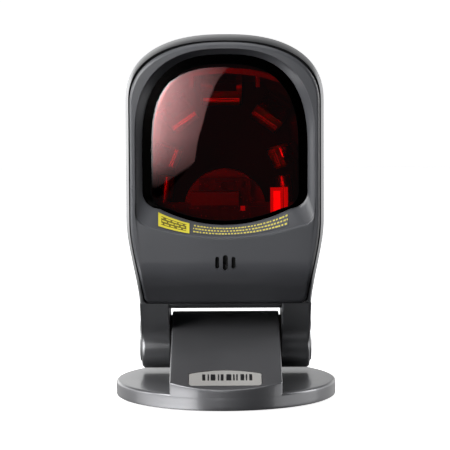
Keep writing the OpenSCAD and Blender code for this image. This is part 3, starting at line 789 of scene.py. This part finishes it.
# grained takes colour, roughness, grain, bump and spread; brushed takes colour, roughness and axis
MATERIALS = {
    "grey_plastic": grained("grey_plastic", GREY, 0.34, 1500, 0.12, 0.05),
    "silver_paint": grained("silver_paint", (0.275, 0.278, 0.285), 0.32, 1800, 0.1, 0.05, metallic=0.93),
    "red_window": red_filter("red_window", (0.95, 0.03, 0.05), (1, 0.95, 0.96), 0.02),
    "window_edge": red_filter("window_edge", (0.1, 0.003, 0.005), (0.04, 0.036, 0.036), 0.3),
    "black_foam": grained("black_foam", (0.005, 0.005, 0.005), 0.9, 600, 0.4, spec=0.1),
    "black_plastic": grained("black_plastic", (0.013, 0.013, 0.014), 0.4, 1100, 0.12),
    "optics_black": grained("optics_black", (0.004, 0.004, 0.004), 0.7, 900, 0.2, spec=0.12),
    "satin_metal": brushed("satin_metal", (0.55, 0.55, 0.57), 0.35, 2),
    "mirror_glass": silvered("mirror_glass"),
    "spring_steel": brushed("spring_steel", (0.56, 0.57, 0.59), 0.28, 0),
    "brass": brushed("brass", (0.62, 0.42, 0.16), 0.3, 2),
    "circuit_board": circuit("circuit_board"),
    "chip_plastic": grained("chip_plastic", (0.03, 0.03, 0.032), 0.5, 1500, 0.15),
    # red_plastic carries painted light: glow=0.5 makes the red parts inside the head glow as if brightly
    # lit
    "red_plastic": grained("red_plastic", (0.9, 0.03, 0.04), 0.3, 1200, 0.08, glow=0.5),
    # red_led carries painted light: glow=0.3 brightens these parts in place of lamp light
    "red_led": grained("red_led", (0.9, 0.05, 0.04), 0.15, 900, 0.02, glow=0.3),
    "dark_steel": brushed("dark_steel", (0.1, 0.1, 0.11), 0.35, 1),
    "blank_label": grained("blank_label", (0.55, 0.54, 0.5), 0.5, 1500, 0.05),
    "nylon": grained("nylon", (0.78, 0.75, 0.68), 0.45, 900, 0.08),
    "warm_paint": grained(
        "warm_paint", (0.158, 0.159, 0.167), 0.34, 1800, 0.1, 0.05, metallic=0.6, coat=0.5, coat_rough=0.09
    ),
    "cast_weight": grained("cast_weight", (0.07, 0.072, 0.076), 0.6, 500, 0.5, 0.2, metallic=0.6),
    "rubber": grained("rubber", (0.012, 0.012, 0.012), 0.8, 900, 0.2),
    "silver_badge": grained("silver_badge", (0.52, 0.51, 0.49), 0.38, 1500, 0.1, 0.05, metallic=0.35),
    "fibre": grained("fibre", (0.05, 0.03, 0.02), 0.7, 900, 0.3),
    "yellow_label": printed(
        "yellow_label", ground=YELLOW, panel=(0.16, 0.13, 0.01), ink=YELLOW,
        across=5, rows=3, weight=0.45, u_range=(0.1, 0.9), v_range=(0.17, 0.83),
    ),
    "black_label": printed(
        "black_label", ground=GREY, panel=GREY, ink=(0.7, 0.6, 0.08),
        across=30, rows=3, weight=0.42, u_range=(0.0, 1.0), v_range=(0.02, 0.98),
    ),
}


def clothe(obj, *names):
    """Gives an object its materials."""
    obj.data.materials.clear()
    for name in names:
        obj.data.materials.append(MATERIALS[name])


def second(obj, test):
    """Gives the second material to the faces that pass a test."""
    for face in obj.data.polygons:
        face.material_index = int(test(face))


cover = build_front_cover()
shell, legs, bosses = build_rear_shell()
window = build_window()
disc, neck = build_base()
badge, bars = build_badge()
caution = sill_label("caution_sticker", "caution_label", 0.16, 0.8, 0.14)
notes = sill_label("printed_notes", "print_strip", 0.22, 0.84, 0.06)

clothe(cover, "grey_plastic")
clothe(shell, "silver_paint", "black_plastic")
core = Vector((0, 10, 110)) * MM  # the shell's inner face looks towards it
second(shell, lambda face: face.normal.dot(face.center - core) < 0)
clothe(window, "red_window", "window_edge")
second(window, lambda face: abs(face.normal.y) < 0.9955)  # steeper than the dome
clothe(legs, "silver_paint")
clothe(bosses, "black_plastic")
clothe(disc, "warm_paint")
clothe(neck, "warm_paint")
clothe(badge, "silver_badge")
clothe(bars, "black_plastic")
clothe(caution, "yellow_label")
clothe(notes, "black_label")

replaced = {
    "front_cover", "rear_shell", "window_lens", "base_housing", "badge", "caution_label", "print_strip",
}
for part in frame["record"]["subparts"]:
    if part["node"] not in replaced:
        clothe(frame["nodes"][part["node"]], part["material_slot"])
clothe(frame["nodes"]["optics_chassis"], "optics_black")
for node in ("pcb_shield", "top_rail"):
    clothe(frame["nodes"][node], "dark_steel")
for side in ("left", "right"):
    bevel(frame["nodes"]["pivot_cap_" + side], 0.4)
bevel(frame["nodes"]["interface_jack"], 0.3)

# ------------------------------------------------------------------ studio
scene = bpy.context.scene
scene.view_settings.view_transform = "Standard"


def studio_world():
    """Dark room, with white behind everything for the camera alone."""
    world = bpy.data.worlds.new("studio")
    world.use_nodes = True
    t = world.node_tree
    t.nodes.clear()
    seen = add(t, "LightPath").outputs["Is Camera Ray"]
    room = add(t, "Background", {"Color": (0.9, 0.93, 1.0, 1), "Strength": 0.05}).outputs["Background"]
    white = add(t, "Background", {"Color": (1, 1, 1, 1), "Strength": 1.0}).outputs["Background"]
    shader = add(t, "MixShader", {0: seen, 1: room, 2: white})
    add(t, "OutputWorld", {"Surface": shader.outputs["Shader"]})
    scene.world = world


def stage_material(name, glow):
    """Pale matt surface with a glow of its own."""
    mat, t = graph(name)
    shader = add(t, "BsdfPrincipled", {
        "Base Color": (0.9, 0.9, 0.9, 1), "Roughness": 0.9, "Specular IOR Level": 0.1,
        "Emission Color": (1, 1, 1, 1), "Emission Strength": glow,
    })
    output(t, shader.outputs["BSDF"])
    return mat


def sheet(name, corners, material):
    """One flat face of the studio."""
    mesh = bpy.data.meshes.new(name)
    mesh.from_pydata(corners, [], [tuple(range(len(corners)))])
    obj = bpy.data.objects.new(name, mesh)
    bpy.context.collection.objects.link(obj)
    obj.data.materials.append(material)
    return obj


def lamp(name, place, size, size_y, power):
    """Soft box that looks at the middle of the object."""
    data = bpy.data.lights.new(name, "AREA")
    data.shape = "RECTANGLE"
    data.size, data.size_y = size, size_y
    data.energy = power
    obj = bpy.data.objects.new(name, data)
    bpy.context.collection.objects.link(obj)
    obj.location = place
    obj.rotation_euler = (Vector((0, 0, 0.1)) - Vector(place)).to_track_quat("-Z", "Y").to_euler()
    obj.visible_camera = False


def reflector(name, corners, strength, across, up):
    """Glowing sheet that only glossy surfaces show, fading along its width and height."""
    mat, t = graph(name)
    place = add(t, "SeparateXYZ", {0: add(t, "TexCoord").outputs["Generated"]})
    sides, height = ramp(t, place.outputs[0], across), ramp(t, place.outputs[2], up)
    glow = mixed(t, 1.0, sides, height, "MULTIPLY")
    light = add(t, "Emission", {"Color": glow, "Strength": strength})
    output(t, light.outputs["Emission"])
    obj = sheet(name, corners, mat)
    obj.visible_camera = False
    obj.visible_diffuse = False


def upright(x0, y0, x1, y1, z0, z1):
    """Corners of an upright sheet from one foot to the other."""
    return [(x0, y0, z0), (x1, y1, z0), (x1, y1, z1), (x0, y0, z1)]


studio_world()
floor = sheet("floor", [(-8, -8, 0), (8, -8, 0), (8, 8, 0), (-8, 8, 0)], stage_material("floor", 0.95))
back = sheet("backdrop", upright(-3, 2.2, 3, 2.2, 0, 3), stage_material("backdrop", 1.0))
for stage in (floor, back):
    stage.visible_glossy = False
    stage.visible_diffuse = False

lamp("left_box", (-1.0, -0.72, 0.72), 1.1, 0.9, 27)
lamp("right_box", (1.1, 0.15, 0.45), 0.45, 0.8, 6)
lamp("top_box", (0, -0.4, 1.3), 0.7, 0.7, 4)

# each card: name, corners, strength, fade across and fade upwards as (place, share) stops
EVEN = [(0.0, 1.0), (1.0, 1.0)]
LOW_FADE, EDGE_FADE = [(0.0, 0.6), (0.5, 1.0)], [(0.0, 0.5), (0.4, 1.0)]
reflector(
    "front_card",
    [(-0.36, -1.3, -0.05), (-0.15, -1.3, -0.05), (0.01, -1.3, 0.335), (-0.36, -1.3, 0.335)], 19.0,
    [(0.28, 1.0), (0.43, 0.5), (0.62, 0.24), (0.74, 0.15), (1.0, 0.02)],
    [(0.2, 0.0), (0.24, 0.05), (0.31, 0.3), (0.37, 0.47), (0.6, 0.74), (0.8, 1.0)],
)
reflector(
    "low_left", upright(-0.3, 0.04, -0.141, -0.28, -0.15, -0.01), 6.0,
    [(0.1, 0.3), (0.56, 0.8), (0.83, 1.0), (1.0, 0.7)], LOW_FADE,
)
reflector("low_right", upright(0.88, -0.75, 1.1, 0.35, -0.4, 0.0), 1.7, EVEN, LOW_FADE)
reflector("edge_left", upright(-1.15, 0.3, -1.15, -0.2, 0.0, 0.4), 7.0, EVEN, EDGE_FADE)
reflector("edge_right", upright(1.15, 0.05, 1.1, 0.45, 0.0, 0.4), 7.0, EVEN, EDGE_FADE)
reflector("back_left", upright(-0.45, 1.6, -1.15, 0.15, -0.5, 0.45), 2.0, EVEN, [(0.35, 0.3), (0.6, 1.0)])
reflector("back_right", upright(1.1, 0.35, 0.45, 1.6, -0.5, 0.45), 1.1, EVEN, [(0.35, 0.6), (0.6, 1.0)])
reflector(
    "back_card", upright(-1.5, 2.1, 1.5, 2.1, 0.0, 2.2), 1.5,
    [(0.38, 0.8), (0.62, 0.35)], [(0.0, 1.0), (1.0, 0.6)],
)

FOCAL_PX, WIDTH_PX = 2055, 450  # of the photograph, which the camera is lined up with
SENSOR = 36
camera = bpy.data.objects.new("camera", bpy.data.cameras.new("camera"))
bpy.context.collection.objects.link(camera)
camera.location = (0.0004, -1.1, 0.185)
camera.rotation_euler = (math.radians(90 - 4.84), math.radians(0.3), 0)
camera.data.sensor_width = SENSOR
camera.data.lens = FOCAL_PX / WIDTH_PX * SENSOR
camera.data.clip_start = 0.05
scene.camera = camera
